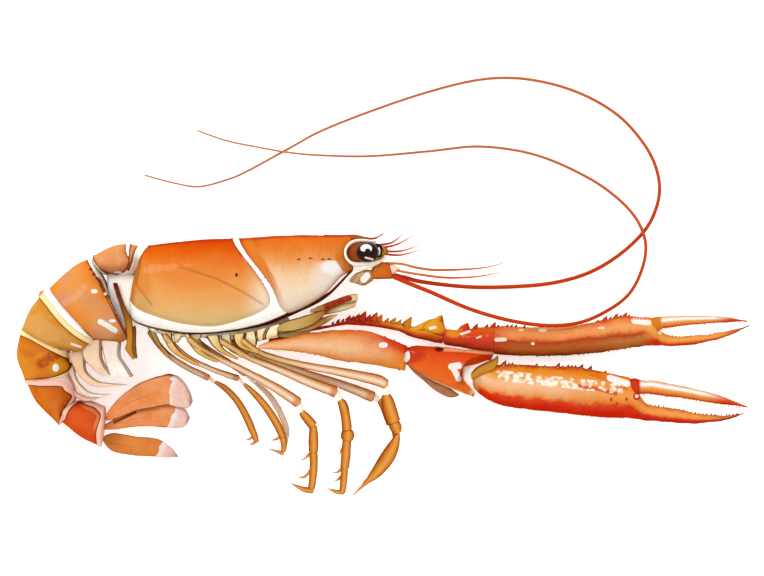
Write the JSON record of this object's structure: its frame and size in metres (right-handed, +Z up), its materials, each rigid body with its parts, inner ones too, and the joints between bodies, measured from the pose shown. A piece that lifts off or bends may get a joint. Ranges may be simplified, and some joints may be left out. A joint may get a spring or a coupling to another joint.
{
  "type": "cooked langoustine",
  "caption": "Whole cooked langoustine lying on its side with its claws stretched out in front, tail curled under and long antennae swept back in loops",
  "frame": {"origin": "on the surface it lies on, under the middle of the whole animal's outline", "axes": "+X towards the head and claws, +Y towards the back of the animal, +Z up, out of its right side"},
  "size_m": [0.2058, 0.1178, 0.0263],
  "materials": {
    "shield_shell": "satin cooked shell, orange on the back and cream at the lower edge",
    "tail_shell": "satin cooked shell, amber orange",
    "last_ring_shell": "satin cooked shell, red orange",
    "fan_blade": "satin, salmon with pale pink ends",
    "claw_shell": "glossy cooked shell, orange with red edges",
    "leg_shell": "satin cooked shell, amber with pale upper parts",
    "root_shell": "satin, red brown",
    "feeler": "satin, red at the root and salmon at the tip",
    "eye": "glossy black brown",
    "mouthpart": "satin, olive brown and tan",
    "soft_skin": "moist, cream",
    "dark_swimmeret": "satin, brown",
    "pale_swimmeret": "moist, pale pink grey"
  },
  "bodies": {
    "root": {"antenna_left": "feeler", "antenna_right": "feeler", "antenna_root_left": "root_shell", "antenna_root_right": "root_shell", "belly": "soft_skin", "claw_arm_left": "claw_shell", "claw_arm_right": "claw_shell", "claw_finger_left": "claw_shell", "claw_finger_right": "claw_shell", "claw_hand_left": "claw_shell", "claw_hand_right": "claw_shell", "claw_wrist_left": "claw_shell", "claw_wrist_right": "claw_shell", "eye_left": "eye", "eye_right": "eye", "fan_inner_left": "fan_blade", "fan_inner_right": "fan_blade", "fan_middle": "fan_blade", "fan_outer_left": "fan_blade", "fan_outer_right": "fan_blade", "leg_1_lower_left": "leg_shell", "leg_1_lower_right": "leg_shell", "leg_1_upper_left": "leg_shell", "leg_1_upper_right": "leg_shell", "leg_2_lower_left": "leg_shell", "leg_2_lower_right": "leg_shell", "leg_2_upper_left": "leg_shell", "leg_2_upper_right": "leg_shell", "leg_3_lower_left": "leg_shell", "leg_3_lower_right": "leg_shell", "leg_3_upper_left": "leg_shell", "leg_3_upper_right": "leg_shell", "leg_4_lower_left": "leg_shell", "leg_4_lower_right": "leg_shell", "leg_4_upper_left": "leg_shell", "leg_4_upper_right": "leg_shell", "mouth_feeler_left": "mouthpart", "mouth_feeler_right": "mouthpart", "shield": "shield_shell", "stalk_left": "root_shell", "stalk_right": "root_shell", "swimmeret_1_left": "dark_swimmeret", "swimmeret_1_right": "dark_swimmeret", "swimmeret_2_left": "pale_swimmeret", "swimmeret_2_right": "pale_swimmeret", "swimmeret_3_left": "pale_swimmeret", "swimmeret_3_right": "pale_swimmeret", "swimmeret_4_left": "pale_swimmeret", "swimmeret_4_right": "pale_swimmeret", "swimmeret_5_left": "pale_swimmeret", "swimmeret_5_right": "pale_swimmeret", "tail_neck": "soft_skin", "tail_ring_1": "tail_shell", "tail_ring_2": "tail_shell", "tail_ring_3": "tail_shell", "tail_ring_4": "tail_shell", "tail_ring_5": "tail_shell", "tail_ring_6": "last_ring_shell", "whips_left": "feeler", "whips_right": "feeler"}
  },
  "joints": []
}
